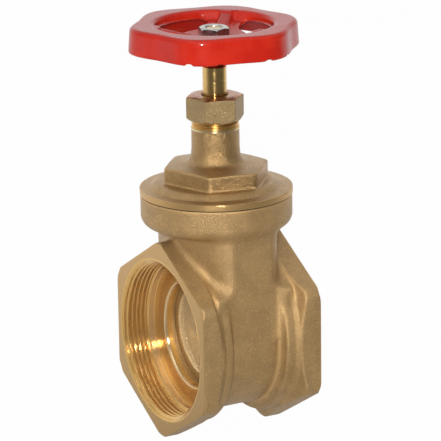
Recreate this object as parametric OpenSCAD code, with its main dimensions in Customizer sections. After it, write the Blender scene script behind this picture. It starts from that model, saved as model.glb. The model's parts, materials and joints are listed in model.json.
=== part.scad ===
// Screwed-bonnet brass gate valve with a non-rising stem and a lobed handwheel.
// Lengths in mm. X runs along the pipe, Z runs up the stem. The origin lies on
// the pipe axis where the thread of the inlet port begins, at the -X end.
// Design heights below are measured from the pipe axis, and the valve is drawn
// about its own centre, then moved along X to that origin.

/* [Ends] */
// Length over the two end faces
face_to_face = 62.4; // [60:0.2:70]
// Hexagon of each end, across flats
end_hex_af = 83.8; // [83.4:0.2:85]
// Radius of the circle the hexagon's corners are turned down to at the face
end_face_r = 46.3; // [44.5:0.1:47.5]
// Radius the hexagon's corners are rounded off to between its ends
end_corner_r = 47.4; // [46.8:0.1:48]
// Distance from the centre to the foot of each hexagon
end_hex_foot = 20; // [19.2:0.1:21]
// Radius of the hexagon's foot, where its turned back begins
end_hex_foot_r = 41.3; // [41:0.1:41.6]
// Axial depth of the hexagon's turned back, out to its corners
end_hex_back = 3.2; // [2:0.1:4]
// Wall of the round collar behind each hexagon, outside the port thread
collar_wall = 4.3; // [3.8:0.1:4.8]

/* [Ports] */
// Radius of the port thread at its crests, G 2 1/2
port_thread_r = 36.113; // [36:0.001:36.5]
// Radius of the port's mouth, where its chamfer begins
port_mouth_r = 38.2; // [37.8:0.1:39]
// Axial length of the mouth's chamfer
port_chamfer = 1.4; // [1:0.1:2]
// Depth of the port thread from the end face
port_thread_depth = 12.6; // [11:0.1:13.5]
// Radius of the plain bore behind the thread
port_relief_r = 35.3; // [34:0.1:36]
// Depth of the whole socket from the end face
port_depth = 16; // [15:0.1:16.4]
// Radius of the waterway through the seats
waterway_r = 24.8; // [22:0.1:25.4]

/* [Chamber] */
// Half width of the chamber along the pipe
chamber_half_x = 14; // [13.8:0.1:14.4]
// Radius of the chamber's round lower part
chamber_r = 35.7; // [34.8:0.1:36.4]
// Half width of the chamber across the pipe, just under the flange
chamber_top_half_y = 32.2; // [32:0.1:33]
// Rounding of the chamber's edges
chamber_edge_r = 5; // [3:0.1:5.4]
// Wall of the chamber across the pipe
chamber_wall = 3.2; // [3:0.1:3.4]
// Half width of the chamber's cavity along the pipe
cavity_half_x = 11.7; // [11.5:0.1:11.9]
// Outer radius of each seat ring
seat_ring_r = 28.4; // [28:0.1:29.5]
// Width of the two guide ribs inside the chamber
rib_w = 3.6; // [3:0.1:5]
// Distance from the axis to the tip of a guide rib
rib_tip_y = 26.9; // [26.8:0.1:27.2]

/* [Body flange] */
// Radius of the body's flange
flange_r = 35.3; // [34.6:0.1:36]
// Height of the flange's top face
flange_top_z = 67; // [66.6:0.1:67.6]
// Height of the flange from its underside to its top face
flange_h = 14.6; // [14:0.1:15.4]
// Rounding of the flange's lower edge
flange_edge_r = 5.4; // [3:0.1:6]
// Depth of the bonnet's thread in the flange
bonnet_thread_depth = 10.4; // [9.4:0.1:10.8]
// Radius of the bonnet's thread
bonnet_thread_r = 31.4; // [31:0.1:32]

/* [Bonnet] */
// Thickness of the joint ring between body and bonnet
gasket_t = 0.5; // [0.4:0.1:1]
// Radius of the bonnet's turned rim
rim_r = 35.7; // [35:0.1:36.4]
// Thickness of the bonnet's turned rim
rim_t = 2.9; // [2.4:0.1:3.6]
// Inner radius of the bonnet's threaded skirt
skirt_bore_r = 28.6; // [28.4:0.1:29]
// Rise of the shoulder from the rim to the foot of the hexagon
shoulder_h = 3.1; // [2.6:0.1:3.6]
// Radius of the shoulder's rounded crest
shoulder_r = 27.6; // [26.9:0.1:28.6]
// Width of the slope from the rim up to the shoulder's crest
shoulder_run = 4.6; // [4:0.1:5.4]
// Bonnet hexagon, across flats
bonnet_hex_af = 44.2; // [41:0.1:45]
// Thickness of the roof over the raised gate, up to the hexagon's top
bonnet_roof = 1.9; // [1.6:0.1:3]
// Turn of the bonnet hexagon about the stem
bonnet_hex_turn = -9; // [-30:1:30]
// Radius of the bonnet's neck
neck_r = 11.2; // [11:0.1:12]
// Radius of the fillet between neck and hexagon
neck_fillet_r = 8; // [6:0.1:9]
// Height of the neck above the hexagon's top
neck_h = 27.3; // [26.8:0.1:28.4]
// Length of the neck's thread
neck_thread_l = 9.3; // [8:0.1:10]

/* [Gland] */
// Gland nut, across flats
gland_nut_af = 23.8; // [23.4:0.1:25]
// Length of neck inside the gland nut
gland_nut_grip = 6; // [5:0.1:7]
// Height of the gland nut
gland_nut_h = 11.9; // [11.4:0.1:13]
// Radius of the gland nut's flat top, inside its chamfer
gland_nut_top_r = 10.2; // [9:0.1:11]
// Width of the chamfer under the gland nut
gland_nut_foot_c = 1.9; // [1:0.1:2.4]
// Width of the countersink round the stem
gland_nut_sink = 1.6; // [1:0.1:2.4]
// Thickness of the gland nut's top wall
gland_nut_top = 3.2; // [2.8:0.1:3.4]
// Turn of the gland nut about the stem
gland_nut_turn = -16; // [-30:1:30]
// Radius of the stuffing box
stuffing_r = 7.4; // [7:0.1:7.8]
// Depth of the stuffing box from the neck's top
stuffing_depth = 11.2; // [10.8:0.1:11.4]
// Height of the packing
packing_h = 5.4; // [4:0.1:6]

/* [Stem] */
// Radius of the stem's shank above its collar
shank_r = 5.6; // [5.4:0.05:5.7]
// Radius of the stem's screw
screw_r = 5; // [4.6:0.1:5.1]
// Height of the screw's lower end
screw_end_z = 27.5; // [27:0.1:28]
// Chamfer of the screw's lower end
screw_chamfer = 0.8; // [0.4:0.1:1.2]
// Radius of the stem's thrust collar
thrust_r = 7.1; // [6.6:0.1:7.3]
// Thickness of the stem's thrust collar
thrust_t = 2.4; // [2:0.1:2.8]
// Square of the stem's upper end
square_af = 8; // [8:0.1:8.6]
// Radius of the stud the wheel nut screws on
stud_r = 4; // [3.5:0.1:4]
// Length of the stud above the wheel's hub
stud_l = 4.4; // [3.8:0.1:4.8]
// Chamfer of the stud's tip
stud_chamfer = 0.6; // [0.3:0.1:0.8]

/* [Gate] */
// Radius of the gate's sealing faces
gate_r = 26.6; // [26.2:0.1:26.8]
// Half thickness of the gate on the pipe axis
gate_half_t = 9.7; // [9.4:0.1:9.8]
// Slope of each sealing face
gate_slope = 2.5; // [2:0.1:2.6]
// Radius of the gate's nut boss
boss_r = 8; // [7.4:0.1:8]
// Height of the nut boss's top with the gate closed
boss_top_z = 42.2; // [41.6:0.1:42.2]
// Lift of the gate from closed to open
gate_lift = 52; // [51.5:0.1:52]
// Radius of the hollow in each sealing face
face_hollow_r = 20.4; // [18:0.1:22]
// Depth of the hollow in each sealing face
face_hollow_d = 1.2; // [0.6:0.1:2]
// Distance from the axis to the outside of a guide ear
ear_y = 28.1; // [28:0.1:28.2]
// Width of a guide ear along the pipe
ear_w = 12; // [9:0.5:13]
// Height of a guide ear
ear_h = 16; // [10:1:18]
// Height of a guide ear's top with the gate closed
ear_top_z = 2; // [0:0.5:2]

/* [Handwheel] */
// Radius of the wheel at the crest of a lobe
wheel_crest_r = 40.3; // [39:0.1:42]
// Radius of the wheel between two lobes
wheel_valley_r = 37; // [36.5:0.1:38]
// Radius of the hollow curve between two lobes
wheel_hollow_r = 54; // [45:1:70]
// Turn of the wheel about the stem, to the middle of a spoke
wheel_turn = 47.5; // [0:0.5:60]
// Height of the rim's top face
wheel_top_z = 147.9; // [147:0.1:149]
// Depth of the rim from its top face to the skirt's lower edge
wheel_h = 12; // [11:0.1:14]
// Width of the step that softens the rim's upper edge
wheel_edge = 1.1; // [0.6:0.1:1.6]
// Sheet thickness of the wheel
wheel_t = 2; // [1.6:0.1:2.4]
// Inner radius of the rim's top face
wheel_inner_r = 28; // [26:0.1:30]
// Radius where the rim's inner wall meets the spokes
web_r = 26.2; // [24.5:0.1:27]
// Drop from the rim's top face to the spokes' outer ends
web_drop = 3.9; // [3:0.1:4.6]
// Radius of the flat hub
hub_r = 8.6; // [8:0.1:10]
// Drop from the rim's top face to the hub's top face
hub_drop = 7.1; // [6.5:0.1:7.5]
// Radius of the disc the spokes spring from
hub_disc_r = 13.4; // [12:0.1:15]
// Width of a spoke
spoke_w = 16.8; // [12:0.1:18]
// Width of the rib along each spoke
spoke_rib_w = 5.4; // [4:0.1:7]
// Height of the rib along each spoke
spoke_rib_h = 1.4; // [0.8:0.1:2]
// Wheel nut, across flats
wheel_nut_af = 13; // [12:0.5:14]
// Turn of the wheel nut about the stem
wheel_nut_turn = 12; // [-30:1:30]
// Height of the wheel nut
wheel_nut_h = 5; // [4:0.1:5.2]

/* [Clearances] */
// Gap between a sealing face and its seat
seat_gap = 0.35; // [0.3:0.05:0.5]
// Radial running clearance of the stem
running = 0.06; // [0.03:0.01:0.1]
// Gap around the moving gate
slide_gap = 0.4; // [0.3:0.1:0.5]
// Radial gap left in each screwed or stacked joint
assembly_gap = 0.05; // [0.02:0.01:0.1]

/* [Hidden] */
$fn = 96;
eps = 0.01;
// How far joined shapes run into each other.
lap = 1;
half = face_to_face / 2;
end_hex_r = end_hex_af / 2 / cos(30);
collar_r = port_thread_r + collar_wall;
bonnet_hex_r = bonnet_hex_af / 2 / cos(30);
gland_nut_r = gland_nut_af / 2 / cos(30);
wheel_nut_r = wheel_nut_af / 2 / cos(30);
flange_bottom_z = flange_top_z - flange_h;
rim_z = flange_top_z + gasket_t;
rim_top_z = rim_z + rim_t;
shoulder_z = rim_top_z + shoulder_h;
skirt_z = flange_top_z - bonnet_thread_depth;
spigot_z = skirt_z + slide_gap;
neck_lean = atan((chamber_r - chamber_top_half_y) / flange_bottom_z);
cavity_r = chamber_r - chamber_wall;
cavity_top_half_y = chamber_top_half_y - chamber_wall;
bonnet_hex_top_z = gate_lift + gate_r + slide_gap + bonnet_roof;
neck_top_z = bonnet_hex_top_z + neck_h;
neck_thread_z = neck_top_z - neck_thread_l;
neck_thread_r = neck_r - 3 * assembly_gap;
stuffing_floor_z = neck_top_z - stuffing_depth;
thrust_z = stuffing_floor_z + assembly_gap;
packing_z = thrust_z + thrust_t + assembly_gap;
packing_top_z = packing_z + packing_h;
gland_nut_z = neck_top_z - gland_nut_grip;
gland_floor_z = gland_nut_z + gland_nut_h - gland_nut_top;
gland_bore_r = shank_r + 5 * running;
boss_room_z = boss_top_z + gate_lift + slide_gap;
wheel_bottom_z = wheel_top_z - wheel_h;
web_edge_z = wheel_top_z - web_drop;
hub_top_z = wheel_top_z - hub_drop;
hub_z = hub_top_z - wheel_t;
stud_top_z = hub_top_z + stud_l;
lobe_n = 6;
valley_d = wheel_valley_r + wheel_hollow_r;
valley_c = valley_d * cos(180 / lobe_n);
lobe_r = (wheel_crest_r * wheel_crest_r + valley_d * valley_d - 2 * wheel_crest_r * valley_c
    - wheel_hollow_r * wheel_hollow_r) / (2 * (wheel_hollow_r + wheel_crest_r - valley_c));
lobe_d = wheel_crest_r - lobe_r;
// The point where a lobe's curve runs into the hollow beside it.
meet = lobe_r / (lobe_r + wheel_hollow_r);
meet_x = lobe_d + meet * (valley_c - lobe_d);
meet_y = meet * valley_d * sin(180 / lobe_n);
meet_r = sqrt(meet_x * meet_x + meet_y * meet_y);
spoke_slope = atan((web_edge_z - hub_top_z) / (web_r - hub_r));

// Moves a piece from the valve's centre to the origin at the inlet thread.
module placed() {
    translate([half - port_chamfer, 0, 0]) children();
}

// Turns a shape drawn about Z so that it stands about X, facing +X.
module about_x() {
    rotate([0, 90, 0]) children();
}

// Six-sided bar about Z with two of its corners on the X axis.
module hex_bar(r, h) {
    cylinder(r = r, h = h, $fn = 6);
}

// --- Body -------------------------------------------------------------------

// Round lower part of the chamber, its edges rounded.
module drum() {
    inner_r = chamber_r - chamber_edge_r;
    inner_x = chamber_half_x - chamber_edge_r;
    about_x() rotate_extrude() {
        translate([0, -chamber_half_x]) square([inner_r, 2 * chamber_half_x]);
        translate([0, -inner_x]) square([chamber_r, 2 * inner_x]);
        for (s = [-1, 1]) translate([inner_r, s * inner_x]) circle(r = chamber_edge_r);
    }
}

// Half of the chamber between drum and flange, leaning in as it rises.
module neck_half() {
    inner_y = chamber_r - chamber_edge_r;
    inner_x = chamber_half_x - chamber_edge_r;
    rotate([neck_lean, 0, 0]) linear_extrude(height = flange_bottom_z + 2 * lap) {
        translate([-chamber_half_x, -5 * lap]) square([2 * chamber_half_x, inner_y + 5 * lap]);
        translate([-inner_x, -5 * lap]) square([2 * inner_x, chamber_r + 5 * lap]);
        for (s = [-1, 1]) translate([s * inner_x, inner_y]) circle(r = chamber_edge_r);
    }
}

// Room for the gate: round below, with leaning sides up to the bonnet's thread.
module cavity() {
    foot = cavity_r * sin(neck_lean);
    rotate([90, 0, 90]) linear_extrude(height = 2 * cavity_half_x, center = true) {
        circle(r = cavity_r);
        polygon([[-cavity_r * cos(neck_lean), foot], [cavity_r * cos(neck_lean), foot],
            [cavity_top_half_y, skirt_z + lap], [-cavity_top_half_y, skirt_z + lap]]);
    }
}

// One end, facing +X: collar, then the hexagon turned down at both its ends.
module end_block() {
    about_x() {
        translate([0, 0, chamber_half_x - lap])
            cylinder(r = collar_r, h = end_hex_foot + 2 * lap - chamber_half_x);
        intersection() {
            hex_bar(end_hex_r, half);
            rotate_extrude() polygon([[0, end_hex_foot], [end_hex_foot_r, end_hex_foot],
                [end_corner_r, end_hex_foot + end_hex_back],
                [end_corner_r, half - (end_corner_r - end_face_r) * tan(30)],
                [end_face_r, half], [0, half]]);
        }
    }
}

// Flange the bonnet screws into, with its rounded lower edge.
module body_flange() {
    rotate_extrude() {
        translate([0, flange_bottom_z + flange_edge_r])
            square([flange_r, flange_top_z - flange_bottom_z - flange_edge_r]);
        translate([0, flange_bottom_z]) square([flange_r - flange_edge_r, flange_edge_r + eps]);
        translate([flange_r - flange_edge_r, flange_bottom_z + flange_edge_r])
            circle(r = flange_edge_r);
    }
}

// Wedge-shaped room between the two seats.
module wedge(gap) {
    h = 2 * seat_ring_r + 10 * lap;
    t = gate_half_t + gap / cos(gate_slope);
    spread = h / 2 * tan(gate_slope);
    rotate([90, 0, 0]) linear_extrude(height = h, center = true)
        polygon([[-t + spread, -h / 2], [t - spread, -h / 2], [t + spread, h / 2],
            [-t - spread, h / 2]]);
}

// Rings that stand off the chamber's walls and carry the sealing faces.
module seats() {
    difference() {
        about_x() cylinder(r = seat_ring_r, h = 2 * cavity_half_x + lap, center = true);
        wedge(seat_gap);
    }
}

// Ribs that keep the gate square to the pipe as it rises.
module guide_ribs() {
    root = lap / 2;
    foot_z = ear_top_z - ear_h;
    for (side = [0, 1]) mirror([0, side, 0]) rotate([90, 0, 90])
        linear_extrude(height = rib_w, center = true)
            polygon([[rib_tip_y, foot_z], [cavity_r + root, foot_z], [cavity_r + root, 0],
                [cavity_top_half_y + root, skirt_z], [rib_tip_y, skirt_z]]);
}

// Socket of one port, facing +X.
module port() {
    about_x() {
        cylinder(r = waterway_r, h = half);
        translate([0, 0, half - port_depth]) cylinder(r = port_relief_r, h = port_depth);
        translate([0, 0, half - port_thread_depth])
            cylinder(r = port_thread_r, h = port_thread_depth);
        translate([0, 0, half - port_chamfer])
            cylinder(r1 = port_thread_r, r2 = port_mouth_r, h = port_chamfer);
    }
}

module body() {
    color([0.66, 0.52, 0.31]) placed() difference() {
        union() {
            difference() {
                union() {
                    drum();
                    neck_half();
                    mirror([0, 1, 0]) neck_half();
                    body_flange();
                    end_block();
                    mirror([1, 0, 0]) end_block();
                }
                cavity();
            }
            seats();
            guide_ribs();
        }
        port();
        mirror([1, 0, 0]) port();
        translate([0, 0, skirt_z]) cylinder(r = bonnet_thread_r, h = flange_top_z);
    }
}

// --- Bonnet -----------------------------------------------------------------

// Outside of the bonnet without its hexagon, from the skirt to the neck's top.
module bonnet_outside() {
    foot_r = neck_r + neck_fillet_r;
    fillet_z = bonnet_hex_top_z + neck_fillet_r;
    skirt_r = bonnet_thread_r - assembly_gap;
    rotate_extrude() difference() {
        polygon([[0, spigot_z], [skirt_r, spigot_z], [skirt_r, rim_z], [rim_r, rim_z],
            [rim_r, rim_top_z], [shoulder_r + shoulder_run, rim_top_z],
            [shoulder_r + 0.3 * shoulder_run, shoulder_z - 0.4 * shoulder_h],
            [shoulder_r, shoulder_z - 0.1 * shoulder_h], [shoulder_r - lap, shoulder_z],
            [foot_r, shoulder_z], [foot_r, fillet_z], [neck_r, fillet_z],
            [neck_r, neck_thread_z], [neck_thread_r, neck_thread_z],
            [neck_thread_r, neck_top_z - lap], [neck_thread_r - lap, neck_top_z],
            [0, neck_top_z]]);
        translate([foot_r, fillet_z]) circle(r = neck_fillet_r);
    }
}

// The bonnet's hexagon, its top sloping up to the neck.
module bonnet_hexagon() {
    rim = bonnet_hex_r + lap;
    crown_r = neck_r + neck_fillet_r / 2;
    crown_z = bonnet_hex_top_z + 0.16 * neck_fillet_r;
    foot_z = shoulder_z - lap;
    intersection() {
        translate([0, 0, foot_z]) rotate([0, 0, bonnet_hex_turn])
            hex_bar(bonnet_hex_r, crown_z - foot_z);
        rotate_extrude() polygon([[0, foot_z], [rim, foot_z],
            [rim, crown_z - (rim - crown_r) * tan(8)], [crown_r, crown_z], [0, crown_z]]);
    }
}

// Room inside the bonnet for the raised gate.
module bonnet_room() {
    room_r = gate_r + slide_gap;
    translate([0, 0, spigot_z - lap])
        cylinder(r = skirt_bore_r, h = rim_z - spigot_z + 2 * lap);
    rotate([90, 0, 90]) linear_extrude(height = 2 * cavity_half_x, center = true)
        intersection() {
            translate([0, gate_lift]) circle(r = room_r);
            translate([-room_r - lap, spigot_z]) square([2 * room_r + 2 * lap, 2 * room_r]);
        }
    translate([0, 0, rim_z]) cylinder(r = boss_r + slide_gap, h = boss_room_z - rim_z);
}

module bonnet() {
    color([0.68, 0.54, 0.33]) placed() difference() {
        union() {
            bonnet_outside();
            bonnet_hexagon();
        }
        bonnet_room();
        cylinder(r = screw_r + running, h = neck_top_z + lap);
        translate([0, 0, stuffing_floor_z]) cylinder(r = stuffing_r, h = neck_top_z);
    }
}

module joint_ring() {
    color([0.25, 0.24, 0.22]) placed() translate([0, 0, flange_top_z]) difference() {
        cylinder(r = flange_r - gasket_t, h = gasket_t);
        translate([0, 0, -lap]) cylinder(r = bonnet_thread_r, h = gasket_t + 2 * lap);
    }
}

// --- Gland ------------------------------------------------------------------

module packing() {
    color([0.86, 0.85, 0.8]) placed() difference() {
        translate([0, 0, packing_z]) cylinder(r = stuffing_r - assembly_gap, h = packing_h);
        cylinder(r = shank_r + running, h = neck_top_z);
    }
}

module gland_ring() {
    color([0.74, 0.6, 0.36]) placed() difference() {
        translate([0, 0, packing_top_z])
            cylinder(r = stuffing_r - assembly_gap, h = gland_floor_z - packing_top_z);
        cylinder(r = shank_r + running, h = neck_top_z + gland_nut_h);
    }
}

module gland_nut() {
    h = gland_nut_h;
    rim = gland_nut_r + lap;
    sink_h = gland_nut_sink / 2;
    color([0.67, 0.53, 0.33]) placed() translate([0, 0, gland_nut_z]) difference() {
        intersection() {
            rotate([0, 0, gland_nut_turn]) hex_bar(gland_nut_r, h);
            rotate_extrude() polygon([[0, 0], [rim - gland_nut_foot_c, 0],
                [rim, gland_nut_foot_c * tan(34)], [rim, h - (rim - gland_nut_top_r) * tan(15)],
                [gland_nut_top_r, h], [0, h]]);
        }
        translate([0, 0, -lap])
            cylinder(r = neck_thread_r + assembly_gap, h = h - gland_nut_top + lap);
        cylinder(r = gland_bore_r, h = h + lap);
        translate([0, 0, h - sink_h])
            cylinder(r1 = gland_bore_r, r2 = gland_bore_r + gland_nut_sink, h = sink_h + eps);
    }
}

// --- Stem and gate ----------------------------------------------------------

module stem() {
    collar_top_z = thrust_z + thrust_t;
    stud = stud_r - assembly_gap;
    seat = assembly_gap * 4;
    color([0.8, 0.66, 0.38]) placed() {
        translate([0, 0, screw_end_z])
            cylinder(r1 = screw_r - screw_chamfer, r2 = screw_r, h = screw_chamfer);
        translate([0, 0, screw_end_z + screw_chamfer])
            cylinder(r = screw_r, h = thrust_z - screw_end_z - screw_chamfer);
        translate([0, 0, thrust_z]) cylinder(r = thrust_r, h = thrust_t);
        translate([0, 0, collar_top_z]) cylinder(r = shank_r, h = hub_z - collar_top_z);
        intersection() {
            translate([0, 0, hub_z]) cylinder(r = shank_r, h = wheel_t - seat);
            rotate([0, 0, wheel_turn]) translate([-square_af / 2, -square_af / 2, hub_z])
                cube([square_af, square_af, wheel_t]);
        }
        translate([0, 0, hub_top_z - seat])
            cylinder(r = stud, h = stud_l + seat - stud_chamfer);
        translate([0, 0, stud_top_z - stud_chamfer])
            cylinder(r1 = stud, r2 = stud - stud_chamfer, h = stud_chamfer);
    }
}

module gate() {
    ear_z = ear_top_z - ear_h;
    slot_y = rib_tip_y - slide_gap;
    color([0.64, 0.5, 0.31]) placed() difference() {
        union() {
            intersection() {
                about_x() cylinder(r = gate_r, h = 2 * gate_r, center = true);
                wedge(0);
            }
            cylinder(r = boss_r, h = boss_top_z);
            translate([-ear_w / 2, -ear_y, ear_z]) cube([ear_w, 2 * ear_y, ear_h]);
        }
        for (side = [0, 1]) mirror([side, 0, 0]) rotate([0, -gate_slope, 0])
            translate([gate_half_t * cos(gate_slope) - face_hollow_d, 0, 0]) about_x()
                cylinder(r = face_hollow_r, h = gate_half_t);
        translate([0, 0, screw_end_z - gate_lift - slide_gap])
            cylinder(r = screw_r + running, h = gate_lift + boss_top_z);
        for (side = [0, 1]) mirror([0, side, 0])
            translate([-rib_w / 2 - slide_gap, slot_y, ear_z - lap])
                cube([rib_w + 2 * slide_gap, ear_y + lap - slot_y, ear_h + 2 * lap]);
    }
}

// --- Handwheel --------------------------------------------------------------

// Outline of the wheel set in by the given amount: six lobes, six hollows.
module lobed(inset) {
    difference() {
        union() {
            circle(r = meet_r + 0.25 - inset);
            for (i = [0:lobe_n - 1]) rotate([0, 0, i * 360 / lobe_n])
                translate([lobe_d, 0]) circle(r = lobe_r - inset);
        }
        for (i = [0:lobe_n - 1]) rotate([0, 0, (i + 0.5) * 360 / lobe_n])
            translate([valley_d, 0]) circle(r = wheel_hollow_r + inset);
    }
}

// Pressed centre of the wheel: hub, dished spokes and the rim's inner wall.
module wheel_centre() {
    rotate_extrude() polygon([[0, hub_top_z], [hub_r, hub_top_z], [web_r, web_edge_z],
        [wheel_inner_r, wheel_top_z], [wheel_inner_r + wheel_t, wheel_top_z],
        [wheel_inner_r + wheel_t, wheel_top_z - wheel_t],
        [web_r + wheel_t, web_edge_z - 0.8 * wheel_t],
        [web_r + 0.2 * wheel_t, web_edge_z - wheel_t], [hub_r, hub_z], [0, hub_z]]);
}

module spoke_gaps() {
    gap_h = wheel_h;
    translate([0, 0, wheel_bottom_z]) linear_extrude(height = gap_h) difference() {
        circle(r = web_r - 0.2 * wheel_t);
        circle(r = hub_disc_r);
        for (a = [0, 120, 240]) rotate([0, 0, a])
            translate([0, -spoke_w / 2]) square([web_r + lap, spoke_w]);
    }
}

module spoke_ribs() {
    run = (web_r - hub_r) / cos(spoke_slope);
    for (a = [0, 120, 240]) rotate([0, 0, a])
        translate([hub_r, -spoke_rib_w / 2, hub_top_z]) rotate([0, -spoke_slope, 0])
            translate([0, 0, -lap]) cube([run + lap, spoke_rib_w, spoke_rib_h + lap]);
}

module handwheel() {
    hole = square_af + 2 * assembly_gap;
    color([0.78, 0.14, 0.08]) placed() rotate([0, 0, wheel_turn]) difference() {
        union() {
            translate([0, 0, wheel_bottom_z]) linear_extrude(height = wheel_h - wheel_edge)
                difference() {
                    lobed(0);
                    lobed(wheel_t);
                }
            translate([0, 0, wheel_top_z - wheel_t]) linear_extrude(height = wheel_t)
                difference() {
                    lobed(wheel_edge);
                    circle(r = wheel_inner_r);
                }
            difference() {
                wheel_centre();
                spoke_gaps();
            }
            spoke_ribs();
        }
        translate([-hole / 2, -hole / 2, hub_z - lap]) cube([hole, hole, wheel_t + 2 * lap]);
    }
}

module wheel_nut() {
    h = wheel_nut_h;
    rim = wheel_nut_r + lap / 2;
    face_r = 0.95 * wheel_nut_af / 2;
    sink = stud_chamfer;
    color([0.6, 0.62, 0.64]) placed() translate([0, 0, hub_top_z]) difference() {
        intersection() {
            rotate([0, 0, wheel_nut_turn]) hex_bar(wheel_nut_r, h);
            rotate_extrude() polygon([[0, 0], [rim, 0], [rim, h - (rim - face_r) * tan(30)],
                [face_r, h], [0, h]]);
        }
        translate([0, 0, -lap]) cylinder(r = stud_r, h = h + 2 * lap);
        translate([0, 0, h - sink]) cylinder(r1 = stud_r, r2 = stud_r + sink, h = sink + eps);
    }
}

body();
bonnet();
joint_ring();
packing();
gland_ring();
gland_nut();
stem();
gate();
handwheel();
wheel_nut();
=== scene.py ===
import json
from math import atan, cos, hypot, pi, radians, sin, tan
import bpy
import numpy as np
from mathutils import Matrix, Vector


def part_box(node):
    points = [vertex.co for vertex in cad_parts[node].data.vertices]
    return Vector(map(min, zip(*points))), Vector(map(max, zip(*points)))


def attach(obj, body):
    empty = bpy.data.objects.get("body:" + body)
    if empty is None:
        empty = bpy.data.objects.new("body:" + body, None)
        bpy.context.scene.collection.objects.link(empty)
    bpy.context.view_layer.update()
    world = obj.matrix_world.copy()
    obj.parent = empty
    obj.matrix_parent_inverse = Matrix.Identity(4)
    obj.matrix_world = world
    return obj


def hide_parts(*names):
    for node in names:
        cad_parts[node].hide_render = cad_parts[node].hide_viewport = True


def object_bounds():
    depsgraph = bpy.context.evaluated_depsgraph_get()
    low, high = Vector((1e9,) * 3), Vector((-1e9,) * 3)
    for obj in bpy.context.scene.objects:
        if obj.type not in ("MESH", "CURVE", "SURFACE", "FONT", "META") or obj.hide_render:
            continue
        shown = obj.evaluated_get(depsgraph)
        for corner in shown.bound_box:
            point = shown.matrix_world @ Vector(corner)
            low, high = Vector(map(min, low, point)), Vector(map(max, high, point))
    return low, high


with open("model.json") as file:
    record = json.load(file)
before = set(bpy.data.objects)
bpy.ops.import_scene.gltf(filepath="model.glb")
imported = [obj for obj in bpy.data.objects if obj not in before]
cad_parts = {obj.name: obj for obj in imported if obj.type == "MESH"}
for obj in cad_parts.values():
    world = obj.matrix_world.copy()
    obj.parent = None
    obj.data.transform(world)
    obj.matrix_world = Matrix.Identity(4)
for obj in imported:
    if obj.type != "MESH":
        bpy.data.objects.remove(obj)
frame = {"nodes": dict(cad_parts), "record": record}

# Shapes are worked out in mm about the valve's own centre: X along the pipe, Z up the
# stem from the pipe axis. Pieces are then moved to the frame's origin, in metres.
MM = 0.001
CAD_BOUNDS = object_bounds()
# The photograph's camera: its turn round the stem from -Y, its height angle and its roll, in
# degrees, its place in mm from the valve's centre, and its lens for a 36 mm sensor.
CAMERA_TURN = -29.261
CAMERA_ELEVATION = 15.689
CAMERA_ROLL = -0.870
CAMERA_PLACE = (-697.293, -1248.121, 454.964)
CAMERA_LENS = 260.1
# The surround's dim side: how far it lies to the camera's right, in degrees, and its strength.
ROOM_TURN = 15
ROOM_LEVEL = 0.15
# The lamps face the stem's axis at this height in mm, from this distance in metres.
LAMP_AIM_Z = 50
LAMP_DISTANCE = 1.3
# A coarser grid while trying things out.
COARSE = 1.0


def place(node):
    """A CAD node's lowest and highest corners, in mm in the frame."""
    low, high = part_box(node)
    return np.array(low) / MM, np.array(high) / MM


PORT_X = {mount["name"]: mount["pos_m"][0] / MM for mount in frame["record"]["mounts"]}
JOINTS = {joint["name"]: joint for joint in frame["record"]["behaviour"]["joints"]}
GATE_LIFT = JOINTS["gate_lift"]["range_m"][1] / MM
MOUTH_DEPTH = 1.4
CENTRE_X = (PORT_X["inlet"] + PORT_X["outlet"]) / 2
CENTRE = np.array((CENTRE_X, 0, 0))
HALF = (PORT_X["outlet"] - PORT_X["inlet"]) / 2 + MOUTH_DEPTH
BODY_LOW, BODY_HIGH = place("body")

# Ends and ports
END_FLAT = BODY_HIGH[1]
END_CORNER_R = -BODY_LOW[2]
END_FACE_R = 46.3
END_ROUND = 5.4
RIDGE_X = 20.3
RIDGE_R = 41.4
BACK_RUN = 3.1
COLLAR_X = 15.0
COLLAR_R = 40.3
# The G 2 1/2 thread's radius at its crests, its depth and its pitch.
THREAD_R = 36.113
THREAD_DEPTH = 1.479
THREAD_PITCH = 2.309
THREAD_END_X = HALF - 12.6
MOUTH_R = 38.2
RELIEF_R = 35.3
STOP_X = HALF - 16
WATERWAY_R = 24.8
SEAT_MOUTH = 1.3
# The port liners end here. The body's skin is cut back by the lap behind their faces.
LINER_R = 38.9
LINER_END_X = 11.35
LINER_WALL = 1.6
LAP = 0.3

# Chamber and flange
CHAMBER_X = 14
CHAMBER_R = 35.7
CHAMBER_TOP_Y = 32.2
CHAMBER_EDGE = 5
CHAMBER_WALL = 3.2
CAVITY_X = 11.7
SEAT_R = 28.4
RIB_Y = 26.9
RIB_X = 1.8
FLANGE_R = 35.3
FLANGE_TOP = BODY_HIGH[2]
FLANGE_FOOT = FLANGE_TOP - 14.6
FLANGE_EDGE = 5.4
BONNET_THREAD_R = 31.4
BONNET_THREAD_FOOT = FLANGE_TOP - 10.4
LEAN = atan((CHAMBER_R - CHAMBER_TOP_Y) / FLANGE_FOOT)
# Over the ends the chamber swells towards the pipe's axis, up to the flange.
SWELL_X = 23
SWELL_R = 60
SWELL_FOOT = 12
SWELL_INSET = 1.2
# Behind each hexagon a web runs up to the chamber's corner. WEB_SLANT is the length of its
# sloping flank over a run of 1 mm. WEB_RISE pairs a height above the pipe's axis with how far
# the web stands out from the collar there.
WEB_FOOT = 5
WEB_INSET = 1.4
WEB_SLOPE, WEB_SLANT = 1.2, 1.56
WEB_RISE = ((WEB_FOOT, -2), (18, 0), (30, 5.4))
# Running gaps in mm: round the gate as it slides, at its closed seats, and round the stem.
SLIDE_GAP = 0.4
SEAT_GAP = 0.12
RUNNING = 0.06

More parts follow.
